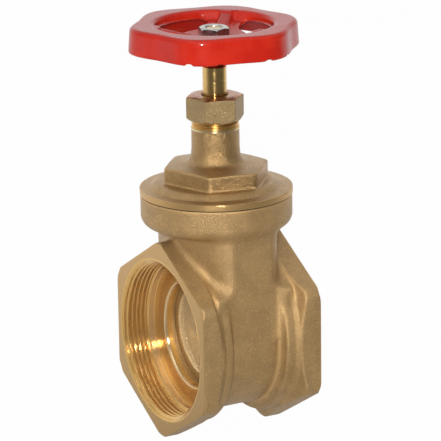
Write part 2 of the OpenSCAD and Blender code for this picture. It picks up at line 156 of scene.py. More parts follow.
# Bonnet
BONNET_LOW, BONNET_HIGH = place("bonnet")
RIM_FOOT = FLANGE_TOP + 0.5
RIM_TOP = RIM_FOOT + 2.9
RIM_R = BONNET_HIGH[1]
SKIRT_BORE_R = 28.6
BONNET_HEX_FOOT = RIM_TOP + 3.1
BONNET_HEX_TOP = 80.9
# From the stem's axis to each flat in turn: this casting's hexagon is a little out of true.
BONNET_FLATS = (22.3, 22.3, 22.3, 22.3, 21.3, 23.6)
BONNET_TURN = -11
BONNET_TOP_SLOPE = radians(7.5)
# The shoulder under it is cast a little off the stem's axis.
SHOULDER_R = 27.6
SHOULDER_OFF = (-0.522, 0.294)
# Top of the room for the raised gate's boss.
BOSS_ROOM_TOP = 94.6
NECK_R = 11.2
NECK_FILLET = 8
NECK_TOP = BONNET_HIGH[2]
NECK_THREAD_FOOT = NECK_TOP - 9.3
NECK_THREAD_PITCH = 1.5
NECK_THREAD_DEPTH = 0.55
STUFFING_R = 7.4
STUFFING_FOOT = NECK_TOP - 11.2

# Gland nut
NUT_LOW, NUT_HIGH = place("gland_nut")
NUT_FLAT = 11.9
NUT_TOP_R = 10.2
NUT_FOOT_CUT = 1.9
NUT_TURN = -16
NUT_BORE_R = 11.1
NUT_ROOF = 3.2
NUT_SINK = 0.9
NUT_CLEARANCE = 0.3
NUT_TOP_SLOPE, NUT_FOOT_SLOPE = radians(15), radians(34)

# Stem
STEM_LOW, STEM_HIGH = place("stem")
SHANK_R = 5.6
SHANK_RINGS = (131.5, 120.8)
# The shank is painted with the wheel down to this height.
PAINT_FOOT = 127.2
SCREW_R = 5.0
SCREW_PITCH = 3.0
THRUST_R = 7.1
THRUST_TOP = STUFFING_FOOT + 2.45
SQUARE = 4.0
STUD_R = 3.95

# Gate
GATE_R = 26.6
GATE_HALF = 9.7
GATE_SLOPE = radians(2.5)
GATE_HOLLOW_R = 20.4
# Depth of the hollow's domed floor at its middle, and how much deeper it is at its edge.
GATE_DOME = 0.3
GATE_DISH = 2.2
BOSS_R = 8.0
GATE_HIGH = place("gate")[1]
EAR_X = 6.0
EAR_Y = 28.1
EAR_LOW = -14.0
EAR_TOP = 2.0

# Handwheel
WHEEL_LOW, WHEEL_HIGH = place("handwheel")
WHEEL_TOP = WHEEL_HIGH[2]
WHEEL_FOOT = WHEEL_LOW[2]
WHEEL_MEAN_R = 38.65
WHEEL_LOBE = 1.64
WHEEL_TURN = 47.5
WHEEL_SHEET = 1.8
BAND_R = 28.3
WALL_R = 26.2
WALL_DROP = 3.9
HUB_R = 8.8
HUB_TOP = WHEEL_TOP - 7.1
HUB_FOOT = HUB_TOP - 2
HUB_DISC_R = 15.2
SPOKE_HALF = 8.2
SPOKE_RIB = 2.7
RIB_HEIGHT = 1.3
SKIRT_FLARE = 0.85
RIM_EDGE_R = 39.0
RIM_BEND = 1.3
# Nicks left by the press on the skirt's foot: place round the stem in degrees, depth in mm.
NICKS = ((-136, 1.3), (-115, 0.5), (-80, 0.9), (-59, 1.1), (12, 0.6), (71, 0.7), (160, 0.6))
NICK_R = 38
NICK_HALF = 1.5

# Wheel nut
WHEEL_NUT_FLAT = 6.5
WHEEL_NUT_TURN = 12
WHEEL_NUT_H = 5.0
WHEEL_NUT_SLOPE = radians(28)
STUD_BORE_R = 4.0


# --- Solids as signed distances in mm, below zero inside ---

FAR = 1e9
COS_30, TAN_30 = 0.8660254, 0.5773503


def join(a, b, k):
    """Union of two solids with a fillet about k wide between them."""
    h = np.maximum(k - np.abs(a - b), 0) / k
    return np.minimum(a, b) - h * h * k / 4


def common(a, b, k):
    """What two solids share, its new edge rounded over about k."""
    return -join(-a, -b, k)


def less(a, b, k):
    """Solid a with b taken out, the new edge rounded over about k."""
    return common(a, -b, k)


def hexagon(u, v, flat, rounding):
    """Hexagon with flats facing +v and -v at the given distance, its corners rounded."""
    flat = flat - rounding
    u, v = np.abs(u), np.abs(v)
    fold = 2 * np.minimum(-COS_30 * u + 0.5 * v, 0)
    u = u + COS_30 * fold
    v = v - 0.5 * fold
    side = TAN_30 * flat
    u = u - np.clip(u, -side, side)
    v = v - flat
    return np.hypot(u, v) * np.sign(v) - rounding


def from_segment(u, v, a, b):
    """Squared distance from the straight segment between two points."""
    eu, ev = b[0] - a[0], b[1] - a[1]
    wu, wv = u - a[0], v - a[1]
    t = held((wu * eu + wv * ev) / (eu * eu + ev * ev))
    return (wu - eu * t) ** 2 + (wv - ev * t) ** 2


def outline(u, v, points):
    """Closed outline in a plane through the given points."""
    near, sign = FAR, 1
    for a, b in zip(points, points[-1:] + points[:-1]):
        near = np.minimum(near, from_segment(u, v, a, b))
        above, below = v >= a[1], v < b[1]
        left = (b[0] - a[0]) * (v - a[1]) > (b[1] - a[1]) * (u - a[0])
        sign = np.where((above & below & left) | ~(above | below | left), -sign, sign)
    return sign * np.sqrt(near)


def line(u, v, points):
    """Distance from an open line through the given points."""
    near = FAR
    for a, b in zip(points[:-1], points[1:]):
        near = np.minimum(near, from_segment(u, v, a, b))
    return np.sqrt(near)


def ripple(x, y, z, size, height):
    """Gentle unevenness of a casting's skin."""
    a = np.sin(x / size + 1.7 * np.sin(y / size * 0.61 + 0.4) + 0.3)
    b = np.sin(y / size * 1.13 + 1.3 * np.sin(z / size * 0.53 + 2.1) + 1.9)
    c = np.sin(z / size * 0.91 + 1.5 * np.sin(x / size * 0.71 + 0.9) + 4.2)
    return height * (a + b + c) / 3


def held(value):
    """A value held between 0 and 1."""
    return np.clip(value, 0, 1)


def smooth(share):
    """A share from 0 to 1, eased at both its ends."""
    return share * share * (3 - 2 * share)


def bevel(up, out, slope):
    """Sloping cut through the edge where up and out are both zero."""
    return up * cos(slope) + out * sin(slope)


def turned(x, y, degrees):
    """A point's place seen from axes turned about the stem."""
    c, s = cos(radians(degrees)), sin(radians(degrees))
    return x * c + y * s, y * c - x * s


def leaning(y, z):
    """Distance from the middle plane, measured square to the chamber's leaning sides."""
    return np.abs(y) * cos(LEAN) + z * sin(LEAN)


def chamber(x, y, z, half_x, radius, edge):
    """Flat box round the gate: round below the pipe axis, leaning sides above it."""
    rise = z * cos(LEAN) - np.abs(y) * sin(LEAN)
    reach = np.where(rise > 0, leaning(y, z), np.hypot(y, z)) - (radius - edge)
    along = np.abs(x) - (half_x - edge)
    out = np.hypot(np.maximum(along, 0), np.maximum(reach, 0))
    return out + np.minimum(np.maximum(along, reach), 0) - edge


def end_block(ax, y, z):
    """One end of the body: collar, ridge and the hexagon with both its ends turned down."""
    r = np.hypot(y, z)
    collar = outline(ax, r, [(0, 0), (0, 30), (COLLAR_X - 2.2, 31), (COLLAR_X - 1.6, 37),
        (COLLAR_X - 0.8, COLLAR_R - 0.5), (COLLAR_X, COLLAR_R), (RIDGE_X - 1.6, RIDGE_R - 0.9),
        (RIDGE_X - 0.5, RIDGE_R), (RIDGE_X + 0.5, RIDGE_R), (RIDGE_X + 1.2, RIDGE_R - 0.9),
        (HALF - 2, RIDGE_R - 2), (HALF - 2, 0)])
    prism = hexagon(z, y, END_FLAT - 0.08, END_ROUND)
    back_rise = END_CORNER_R - RIDGE_R
    back = (RIDGE_X + 0.3 - ax) * back_rise + (r - RIDGE_R) * BACK_RUN
    prism = common(prism, back / hypot(BACK_RUN, back_rise), 0.8)
    prism = common(prism, r - END_CORNER_R, 0.8)
    block = join(collar, prism, 0.9) + ripple(ax, y, z, 7, 0.07)
    block = common(block, (ax - HALF) * 0.866 + (r - END_FACE_R) * 0.5, 0.25)
    return common(block, ax - HALF + 0.01, 0.25)


def corner_web(ax, y, z):
    """Web from behind a hexagon's upper flats to the chamber's corner."""
    web = hexagon(z, y, END_FLAT - WEB_INSET, END_ROUND)
    web = common(web, np.hypot(y, z) - COLLAR_R - np.interp(z, *zip(*WEB_RISE)), 1)
    flank = (leaning(y, z) - CHAMBER_R - WEB_SLOPE * (ax - CHAMBER_X + 1)) / WEB_SLANT
    web = common(common(web, ax - RIDGE_X, 1), flank, 2)
    return np.maximum(web, np.maximum(CHAMBER_X - 3 - ax, WEB_FOOT - z))


def body_room(x, y, z):
    """Hollow of the body: the gate's room, less its seats and ribs, the bores and the top."""
    ax, r, s = np.abs(x), np.hypot(y, z), np.hypot(x, y)
    room = common(chamber(x, y, z, CAVITY_X, CHAMBER_R - CHAMBER_WALL, 1), z - BONNET_THREAD_FOOT - 1, 0.5)
    wedge = GATE_HALF + SEAT_GAP + z * tan(GATE_SLOPE)
    seat = np.maximum(r - SEAT_R, wedge - ax)
    rib = common(common(ax - RIB_X, RIB_Y - np.abs(y), 0.6), EAR_LOW - z, 0.6)
    room = np.maximum(np.maximum(room, -seat), -rib)
    bore = np.minimum(r - WATERWAY_R, common(r - WATERWAY_R - 0.5, LINER_END_X + LAP - ax, 0.1))
    bore = np.minimum(bore, common(r - RELIEF_R - 1.3, STOP_X - LAP - ax, 0.1))
    bore = np.minimum(bore, np.maximum(r - LINER_R, THREAD_END_X - LAP - ax))
    top = np.maximum(s - BONNET_THREAD_R, BONNET_THREAD_FOOT - z)
    return np.minimum(room, np.minimum(bore, top))


def body_shape(x, y, z):
    """Body casting, with everything bored out of it apart from the port threads."""
    ax, s, side = np.abs(x), np.hypot(x, y), leaning(y, z) - CHAMBER_R
    swell = common(np.hypot(ax + SWELL_R - SWELL_X, y) - SWELL_R, side + SWELL_INSET, CHAMBER_EDGE)
    box = chamber(x, y, z, CHAMBER_X, CHAMBER_R, CHAMBER_EDGE)
    box = join(box, np.maximum(swell, SWELL_FOOT - z), 2)
    box = common(box, z - FLANGE_FOOT - 3, 0.5)
    flange = outline(s, z, [(0, FLANGE_FOOT + FLANGE_EDGE - 1), (0, FLANGE_TOP + 2),
        (FLANGE_R - FLANGE_EDGE, FLANGE_TOP + 2), (FLANGE_R - FLANGE_EDGE, FLANGE_FOOT + FLANGE_EDGE)])
    cast = join(box, flange - FLANGE_EDGE, 3) + ripple(x, y, z, 7, 0.09)
    cast = join(cast, join(end_block(ax, y, z), corner_web(ax, y, z), 2), 4)
    return np.maximum(common(cast, z - FLANGE_TOP, 0.4), -body_room(x, y, z))


def bonnet_room(x, y, z):
    """Hollow of the bonnet: the skirt's bore, the raised gate's room, the stem's bore and box."""
    s = np.hypot(x, y)
    room = np.maximum(s - SKIRT_BORE_R, z - RIM_FOOT - 0.5)
    across = np.where(z > GATE_LIFT, np.hypot(y, z - GATE_LIFT), np.abs(y)) - GATE_R - SLIDE_GAP
    gate_room = np.maximum(across, np.abs(x) - CAVITY_X)
    boss_room = np.maximum(s - BOSS_R - SLIDE_GAP, z - BOSS_ROOM_TOP)
    room = np.minimum(np.minimum(room, gate_room), boss_room)
    stuffing = np.maximum(s - STUFFING_R, STUFFING_FOOT - z)
    return np.minimum(room, np.minimum(s - SCREW_R - RUNNING, stuffing))


def bonnet_shape(x, y, z):
    """Bonnet casting with its rim, shoulder, hexagon and neck."""
    s = np.hypot(x, y)
    foot_r = NECK_R + NECK_FILLET
    fillet_z = BONNET_HEX_TOP + NECK_FILLET - 1
    off = held(z - RIM_TOP + 0.5)
    out = np.hypot(x - off * SHOULDER_OFF[0], y - off * SHOULDER_OFF[1])
    outside = outline(out, z, [(0, RIM_FOOT), (RIM_R - 0.1, RIM_FOOT), (RIM_R - 0.1, RIM_TOP),
        (SHOULDER_R + 3, RIM_TOP + 0.5), (SHOULDER_R + 1, RIM_TOP + 2.1), (SHOULDER_R, RIM_TOP + 2.8),
        (SHOULDER_R - 1, BONNET_HEX_FOOT), (0, BONNET_HEX_FOOT)])
    neck = np.maximum(s - NECK_R, z - NECK_THREAD_FOOT)
    cone = common(s - NECK_R - NECK_FILLET - 2, z - fillet_z, 0.5)
    torus = NECK_FILLET - np.hypot(s - foot_r, z - fillet_z)
    cone = np.maximum(cone, np.where(s < foot_r, torus, z - fillet_z + NECK_FILLET))
    prism = -FAR
    for k, flat in enumerate(BONNET_FLATS):
        a = radians(BONNET_TURN - 30 + 60 * k)
        prism = common(prism, x * cos(a) + y * sin(a) - flat, 1.6)
    slope = tan(BONNET_TOP_SLOPE)
    top = (z - BONNET_HEX_TOP - 1.4 + (s - NECK_R) * slope) / hypot(1, slope)
    prism = common(common(prism, top, 0.9), BONNET_HEX_FOOT - 2 - z, 0.5)
    cast = join(join(prism, cone, 1.2), outside, 1.4)
    cast = join(cast, neck, 0.6) + ripple(x, y, z, 6, 0.08)
    skirt = np.maximum(s - BONNET_THREAD_R + 0.3, z - RIM_FOOT - 1)
    skirt = np.maximum(skirt, BONNET_LOW[2] - z)
    thread_core = np.maximum(s - NECK_R + 1.3, z - NECK_TOP)
    cast = np.minimum(np.minimum(cast, skirt), np.maximum(thread_core, BONNET_HEX_TOP - z))
    return np.maximum(cast, -bonnet_room(x, y, z))


def gland_nut_shape(x, y, z):
    """Gland nut: hexagon with a shallow turned top and a chamfered foot."""
    s = np.hypot(x, y)
    u, v = turned(x, y, NUT_TURN)
    low, high = NUT_LOW[2], NUT_HIGH[2]
    corner = NUT_FLAT / cos(radians(30))
    prism = hexagon(u, v, NUT_FLAT, 0.6)
    top = bevel(z - high, s - NUT_TOP_R, NUT_TOP_SLOPE)
    foot = bevel(low - z, s - corner + NUT_FOOT_CUT, NUT_FOOT_SLOPE)
    solid = common(common(prism, top, 0.5), foot, 0.5) + ripple(x, y, z, 3, 0.05)
    solid = common(common(solid, z - high, 0.35), low - z, 0.4)
    bore = np.maximum(s - NUT_BORE_R, z - high + NUT_ROOF)
    hole = s - SHANK_R - NUT_CLEARANCE
    sink = (hole - NUT_SINK) * 0.6 + (high - z) * 0.8
    return less(np.maximum(solid, -np.minimum(bore, hole)), sink, 0.3)


def gate_shape(x, y, z):
    """Wedge gate with its nut boss, guide ears and hollowed faces."""
    ax, r, s, ay = np.abs(x), np.hypot(y, z), np.hypot(x, y), np.abs(y)
    face = (ax - GATE_HALF - z * tan(GATE_SLOPE)) * cos(GATE_SLOPE)
    disc = common(r - GATE_R, face, 0.5)
    boss = common(s - BOSS_R, np.maximum(z - GATE_HIGH[2], -z), 0.8)
    ears = common(common(ax - EAR_X, ay - EAR_Y, 0.8), np.maximum(z - EAR_TOP, EAR_LOW - z), 0.8)
    solid = join(join(disc, boss, 1), ears, 0.8)
    floor = GATE_DOME + GATE_DISH * (r / GATE_HOLLOW_R) ** 2
    hollow = common(r - GATE_HOLLOW_R, -face - floor, 0.8)
    solid = less(solid, hollow, 1.6)
    screw = np.maximum(s - SCREW_R - RUNNING, STEM_LOW[2] - GATE_LIFT - SLIDE_GAP - z)
    slot = np.maximum(ax - RIB_X - SLIDE_GAP, RIB_Y - SLIDE_GAP - ay)
    return np.maximum(solid, -np.minimum(screw, slot))


def wheel_edge(angle, z):
    """Outer radius of the lobed wheel, whose skirt flares a little towards its foot."""
    lobes = WHEEL_MEAN_R + WHEEL_LOBE * np.cos(6 * (angle - radians(WHEEL_TURN)))
    return lobes - SKIRT_FLARE * (z - WHEEL_FOOT) / (WHEEL_TOP - WHEEL_FOOT)


def skirt_nicks(angle, z):
    """How far the skirt's foot is pushed up at its nicks."""
    nicks = 0
    for at, deep in NICKS:
        turn = np.abs((angle - radians(at) + pi) % (2 * pi) - pi)
        nicks = nicks + deep * np.exp(-(turn * NICK_R / NICK_HALF) ** 4)
    return nicks * held((WHEEL_FOOT + 3 - z) / 3)


def wheel_shape(x, y, z):
    """Pressed wheel: hub, dished spokes, inner wall, top band and skirt from one sheet."""
    s, angle = np.hypot(x, y), np.arctan2(y, x)
    half = WHEEL_SHEET / 2
    # the sheet is worked out round, and the lobes ease in between the band and the skirt
    ease = smooth(held((s - 29) / 6))
    even = s - (wheel_edge(angle, z) - RIM_EDGE_R) * ease
    spoke = (angle - radians(WHEEL_TURN)) % radians(120)
    spoke = np.minimum(spoke, radians(120) - spoke)
    across, along = s * np.sin(spoke), s * np.cos(spoke)
    # the rib pressed up along each spoke
    rib = held(1.6 - across / SPOKE_RIB) * held((along - HUB_R + 1) / 3)
    rib = smooth(rib) * (1 + 1.3 * held((along - HUB_R) / (WALL_R - HUB_R)))
    top = WHEEL_TOP - half - 0.04
    skirt = RIM_EDGE_R - half
    corner = [(skirt - RIM_BEND * (1 - sin(a)), top - RIM_BEND * (1 - cos(a)))
        for a in np.radians((0, 30, 60, 90))]
    wall = WHEEL_TOP - WALL_DROP - half
    section = [(0, HUB_TOP - half), (HUB_R - 1, HUB_TOP - half), (HUB_R + 1, HUB_TOP - half + 0.2),
        (WALL_R - 0.7, wall - 0.2), (WALL_R + 0.5, wall + 0.8),
        (BAND_R - 0.3, top - 0.8), (BAND_R + 0.5, top - 0.15), (BAND_R + 1.6, top)]
    # the rib's crest runs out just below the top band
    rib = np.minimum(RIB_HEIGHT * rib, np.maximum(top - 0.5 - np.interp(s, *zip(*section)), 0))
    section = section + corner + [(skirt, WHEEL_FOOT + half)]
    sheet = line(even, z - rib - skirt_nicks(angle, z), section) - half
    gap = common(common(s - WALL_R - 0.9, HUB_DISC_R - s, 2), SPOKE_HALF - across, 5)
    wheel = less(sheet, gap, 0.9)
    u, v = turned(x, y, WHEEL_TURN)
    square = np.maximum(np.maximum(np.abs(u), np.abs(v)) - SQUARE - 0.05, z - HUB_TOP - 1)
    return np.maximum(common(wheel, z - WHEEL_TOP + 0.04, 0.3), -square)


def wheel_nut_shape(x, y, z):
    """Hexagon nut that holds the wheel on its square."""
    s = np.hypot(x, y)
    u, v = turned(x, y, WHEEL_NUT_TURN)
    prism = hexagon(u, v, WHEEL_NUT_FLAT, 0.15)
    high = HUB_TOP + WHEEL_NUT_H
    top = bevel(z - high, s - 0.95 * WHEEL_NUT_FLAT, WHEEL_NUT_SLOPE)
    foot = bevel(HUB_TOP - z, s - WHEEL_NUT_FLAT, WHEEL_NUT_SLOPE)
    solid = common(common(prism, top, 0.15), foot, 0.15)
    solid = common(common(solid, z - high, 0.2), HUB_TOP - z, 0.2)
    sink = (s - STUD_BORE_R - 0.6) * 0.707 + (high - z) * 0.707
    return np.maximum(solid, -np.minimum(s - STUD_BORE_R, sink))


# --- Meshes ---

def slope_of(shape, p, h):
    """Direction in which a shape's distance grows fastest, by central differences."""
    g = np.empty_like(p)
    for k in range(3):
        step = np.zeros(3)
        step[k] = h
        g[:, k] = shape(*(p + step).T) - shape(*(p - step).T)
    return g / np.maximum(np.linalg.norm(g, axis=1, keepdims=True), 1e-12)


def skin(shape, low, high, step):
    """Quads over a shape's surface by dual contouring, which keeps its sharp edges."""
    low = np.asarray(low, float) - 1.7 * step
    axes = [np.arange(a, b + 2.7 * step, step) for a, b in zip(low, high)]
    value = shape(*np.meshgrid(*axes, indexing="ij", sparse=True))
    inside = value < 0
    cells = tuple(n - 1 for n in value.shape)
    points, normals, around = [], [], []
    for k in range(3):
        first = tuple(slice(0, -1) if i == k else slice(None) for i in range(3))
        second = tuple(slice(1, None) if i == k else slice(None) for i in range(3))
        cross = inside[first] != inside[second]
        at = np.argwhere(cross)
        va, vb = value[first][cross], value[second][cross]
        ta, tb = np.zeros(len(at)), np.ones(len(at))
        base = low + step * at
        # closes in on where each grid edge crosses the surface
        for _ in range(3):
            margin = 0.02 * (tb - ta)
            t = np.clip(ta + (tb - ta) * va / (va - vb), ta + margin, tb - margin)
            p = base.copy()
            p[:, k] += step * t
            v = shape(*p.T)
            same = (v < 0) == (va < 0)
            ta, va = np.where(same, t, ta), np.where(same, v, va)
            tb, vb = np.where(same, tb, t), np.where(same, vb, v)
        t = ta + (tb - ta) * va / (va - vb)
        p = base.copy()
        p[:, k] += step * t
        points.append(p)
        normals.append(slope_of(shape, p, 0.02))
        # the four cells round each crossed edge give a quad
        u, w = (k + 1) % 3, (k + 2) % 3
        ring = []
        for du, dw in ((0, 0), (1, 0), (1, 1), (0, 1)):
            cell = at.copy()
            cell[:, u] -= du
            cell[:, w] -= dw
            ring.append(np.ravel_multi_index(cell.T, cells))
        ring = np.stack(ring, 1)
        outward = inside[first][cross]
        around.append(np.where(outward[:, None], ring, ring[:, ::-1]))
    points, normals, around = np.concatenate(points), np.concatenate(normals), np.concatenate(around)
    used, quads = np.unique(around, return_inverse=True)
    quads = quads.reshape(around.shape)
    # each cell's point lies where the surface's planes at its crossings meet best
    owner, edge = quads.ravel(), np.repeat(np.arange(len(points)), 4)
    count = np.bincount(owner).astype(float)
    mean = np.stack([np.bincount(owner, points[edge, i]) for i in range(3)], 1) / count[:, None]
    n, d = normals[edge], np.einsum("ij,ij->i", normals[edge], points[edge] - mean[owner])
    a = np.empty((len(used), 3, 3))
    b = np.empty((len(used), 3))
    for i in range(3):
        b[:, i] = np.bincount(owner, n[:, i] * d)
        for j in range(3):
            a[:, i, j] = np.bincount(owner, n[:, i] * n[:, j])
    # a light pull to the cell's mean point, which also keeps flat cells solvable
    a += 0.03 * count[:, None, None] * np.eye(3)
    corner = low + step * np.stack(np.unravel_index(used, cells), 1)
    spots = np.clip(mean + np.linalg.solve(a, b[:, :, None])[:, :, 0], corner, corner + step)
    return spots, quads


def edge_and_recess_values(shape, spots, deep):
    """How much each point stands on an outer edge, and how far it lies in a recess; the materials paint
    shade by the recess share.
    """
    n, reach = slope_of(shape, spots, 0.3), 2.5
    recess = 1 - held(shape(*(spots + reach * n).T) / reach)
    edge = held(1 + shape(*(spots - deep * n).T) / deep)
    return np.stack([edge, recess, np.zeros(len(spots)), np.ones(len(spots))], 1)


def add(name, data):
    """Puts a new object into the scene."""
    made = bpy.data.objects.new(name, data)
    bpy.context.scene.collection.objects.link(made)
    return made


def piece(name, spots, faces, material, body, replaces, sharp=40, values=None):
    """Makes a Blender object from points in mm about the valve's centre."""
    mesh = bpy.data.meshes.new(name)
    mesh.from_pydata(((spots + CENTRE) * MM).tolist(), [], faces)
    mesh.shade_smooth()
    mesh.set_sharp_from_angle(angle=radians(sharp))
    if values is not None:
        layer = mesh.color_attributes.new("edge_and_recess", "FLOAT_COLOR", "POINT")
        layer.data.foreach_set("color", values.astype(np.float32).ravel())
    mesh.materials.append(material)
    made = add(name, mesh)
    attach(made, body)
    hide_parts(*replaces)


def cast_piece(name, shape, node, step, material, body):
    """A piece whose surface is found from its shape function, in place of its CAD node."""
    low, high = place(node)
    spots, quads = skin(shape, low - CENTRE, high - CENTRE, step * COARSE)
    values = edge_and_recess_values(shape, spots, min(0.9, 1.2 * step))
    piece(name, spots, quads.tolist(), material, body, [node], 50, values)


def spun(rows, count, axis, shape=None, closed=True):
    """Surface swept round an axis from (height, radius) rows given round its section."""
    rows = np.array(rows, float)
    angle = np.arange(count) * 2 * pi / count
    h = np.repeat(rows[:, :1], count, 1)
    r = np.repeat(rows[:, 1:2], count, 1)
    if shape:
        r = shape(angle[None, :], h, r)
    c, s = r * np.cos(angle), r * np.sin(angle)
    spots = np.stack([h, c, s] if axis == "x" else [c, s, h], -1).reshape(-1, 3)
    m = len(rows)
    i = np.arange(m if closed else m - 1)[:, None]
    j = np.arange(count)[None, :]
    a, b = i * count + j, i * count + (j + 1) % count
    c, d = (i + 1) % m * count + (j + 1) % count, (i + 1) % m * count + j
    quads = np.stack([a, b, c, d], -1).reshape(-1, 4)
    p, q, t = spots[quads[:, :3].T]
    volume = (p * np.cross(q, t)).sum()
    faces = quads.tolist()
    if not closed:
        faces += [list(range(count))[::-1], [(m - 1) * count + k for k in range(count)]]
    if volume < 0:
        faces = [f[::-1] for f in faces]
    return spots, faces


def steps(start, end, size):
    """Evenly spaced values from start to end, about size apart."""
    return np.linspace(start, end, max(2, int(abs(end - start) / size) + 2))


def groove(phase):
    """Depth of a rounded V thread, from 0 at its crests to 1 at its roots."""
    ramp = np.abs(2 * (phase % 1) - 1)
    ramp = held((ramp - 0.12) / 0.76)
    return smooth(ramp) * 0.35 + ramp * 0.65


# --- Materials ---

def put(tree, kind, inputs=None, **settings):
    """Adds a shader node; an input given as another node's output is linked to it."""
    made = tree.nodes.new(kind)
    for name, value in settings.items():
        setattr(made, name, value)
    for name, value in (inputs or {}).items():
        if isinstance(value, bpy.types.NodeSocket):
            tree.links.new(value, made.inputs[name])
        else:
            made.inputs[name].default_value = value
    return made


def calc(tree, operation, *values):
    """A Math node's result."""
    return put(tree, "ShaderNodeMath", dict(enumerate(values)), operation=operation).outputs[0]


def times(tree, first, second):
    """Two outputs or numbers multiplied."""
    return calc(tree, "MULTIPLY", first, second)


def remap(tree, value, low, high, to_low=0.0, to_high=1.0):
    """A value moved smoothly from one range to another, and held at its ends."""
    return put(tree, "ShaderNodeMapRange", {"Value": value, "From Min": low, "From Max": high,
        "To Min": to_low, "To Max": to_high}, interpolation_type="SMOOTHSTEP").outputs[0]


def tint(tree, share, first, second):
    """First colour going over to the second by share."""
    return put(tree, "ShaderNodeMix", {0: share, 6: first, 7: second}, data_type="RGBA").outputs[2]


def wash(tree, value, low, high, share, colour, second):
    """A colour with up to share of a second laid over it, as value goes from low to high."""
    return tint(tree, times(tree, remap(tree, value, low, high), share), colour, second)


def rgb(red, green, blue):
    """A colour given as it looks on screen, 0 to 255."""
    parts = [c / 255 for c in (red, green, blue)]
    return tuple(c / 12.92 if c <= 0.04045 else ((c + 0.055) / 1.055) ** 2.4 for c in parts) + (1.0,)


class Skin:
    """A material being built, with the coordinates that its textures share."""

    def __init__(self, name, **constants):
        self.material = bpy.data.materials.new(name)
        self.material.use_nodes = True
        self.tree = self.material.node_tree
        self.shader = self.tree.nodes["Principled BSDF"]
        for key, value in constants.items():
            self.shader.inputs[key.replace("_", " ")].default_value = value
        self.at = put(self.tree, "ShaderNodeTexCoord").outputs["Object"]
        parts = put(self.tree, "ShaderNodeSeparateXYZ", {"Vector": self.at})
        self.x = calc(self.tree, "SUBTRACT", parts.outputs[0], CENTRE_X * MM)
        self.y, self.z = parts.outputs[1], parts.outputs[2]

    def length(self, a, b):
        """Distance whose two parts, at right angles, are a and b."""
        first, second = times(self.tree, a, a), times(self.tree, b, b)
        return calc(self.tree, "SQRT", calc(self.tree, "ADD", first, second))

    def noise(self, size, detail=3.0, roughness=0.55):
        """Noise whose features are about size mm across."""
        return put(self.tree, "ShaderNodeTexNoise", {"Vector": self.at, "Scale": 1 / (size * MM),
            "Detail": detail, "Roughness": roughness}).outputs[0]

    def rings(self, value, size):
        """Fine lines that follow a tool's feed, across the given length."""
        return put(self.tree, "ShaderNodeTexNoise", {"W": value, "Scale": 1 / (size * MM), "Detail": 3.0},
            noise_dimensions="1D").outputs[0]

    def pits(self, spacing, radius, share):
        """1 in small pits in some of the cells about spacing mm across, 0 elsewhere."""
        cells = put(self.tree, "ShaderNodeTexVoronoi", {"Vector": self.at, "Scale": 1 / (spacing * MM)})
        chosen = put(self.tree, "ShaderNodeSeparateColor", {"Color": cells.outputs["Color"]}).outputs[0]
        inside = remap(self.tree, cells.outputs["Distance"], radius * 1.3, radius * 0.7)
        return times(self.tree, inside, calc(self.tree, "LESS_THAN", chosen, share))

    def values(self):
        """Edge and recess shares stored on the mesh."""
        stored = put(self.tree, "ShaderNodeVertexColor", layer_name="edge_and_recess").outputs[0]
        return put(self.tree, "ShaderNodeSeparateColor", {"Color": stored}).outputs[:2]

    def bump(self, height, depth):
        """Turns heights from 0 to 1 into relief depth mm deep."""
        return put(self.tree, "ShaderNodeBump", {"Height": height, "Distance": depth * MM}).outputs[0]

    def link(self, **sockets):
        """Links outputs to the shader's sockets of those names, and gives the material."""
        for key, value in sockets.items():
            self.tree.links.new(value, self.shader.inputs[key.replace("_", " ")])
        return self.material


def cast_brass(name, machined, lines, cast, cut_rough=0.36, coarse=1.0, metal=0.62, rough=0.5,
        relief=0.34, stain=0.0):
    """Shot-blasted brass, lighter on its edges by wear and a painted highlight and darker in its recesses
    by painted shade, with turned faces where machined says.

    Its grain is as coarse and as deep (relief, in mm) as the caller says, and stain is the
    share of red paint left on the turned faces."""
    def shade(tone, golden=0):
        return rgb(cast[0] * tone, cast[1] * tone - golden / 2, cast[2] * tone - golden)

    m = Skin(name, IOR=1.5)
    t = m.tree
    edge, recess = m.values()
    grain, speck, patch = m.noise(0.4 * coarse, 2.0, 0.6), m.noise(0.8 * coarse, 2.0), m.noise(9)
    colour = tint(t, remap(t, patch, 0.3, 0.7), shade(0.96), shade(1.04))
    colour = wash(t, grain, 0.6, 0.3, 0.5, colour, shade(0.78))
    colour = wash(t, speck, 0.55, 0.7, 0.45, colour, shade(1.24))
    # painted shade: darker and browner in recesses, by how shut in each point is
    colour = wash(t, recess, 0.45, 1.0, 0.18, colour, shade(0.8, 22))
    # lighter on outer edges: partly wear, partly a painted highlight
    colour = wash(t, edge, 0.12, 0.5, 0.5, colour, shade(1.22))
    pits = m.pits(7, 0.05, 0.55)
    colour = tint(t, times(t, pits, 0.5), colour, shade(0.6))
    where, feed = machined(m), m.rings(lines(m), 0.35)
    bright = tint(t, feed, rgb(188, 150, 96), rgb(216, 178, 120))
    red = times(t, remap(t, patch, 0.35, 0.55), stain)
    colour = tint(t, where, colour, tint(t, red, bright, rgb(150, 64, 36)))
    dry = remap(t, grain, 0.3, 0.7, rough, rough - 0.18)
    roughness = put(t, "ShaderNodeMix", {0: where, 2: dry, 3: cut_rough}).outputs[0]
    metallic = put(t, "ShaderNodeMix", {0: where, 2: metal, 3: 0.8}).outputs[0]
    blasted = calc(t, "ADD", times(t, grain, 0.7), times(t, speck, 0.4))
    cut = times(t, feed, 0.22)
    blasted = calc(t, "SUBTRACT", blasted, pits)
    height = put(t, "ShaderNodeMix", {0: where, 2: blasted, 3: cut}).outputs[0]
    return m.link(Base_Color=colour, Metallic=metallic, Roughness=roughness,
        Normal=m.bump(height, relief))


def over(m, value, limit):
    """1 where value is above limit mm, 0 below."""
    return calc(m.tree, "GREATER_THAN", value, limit * MM)


def within(m, value, low, high):
    """1 where value lies between two limits in mm, 0 elsewhere."""
    return calc(m.tree, "SUBTRACT", over(m, value, low), over(m, value, high))


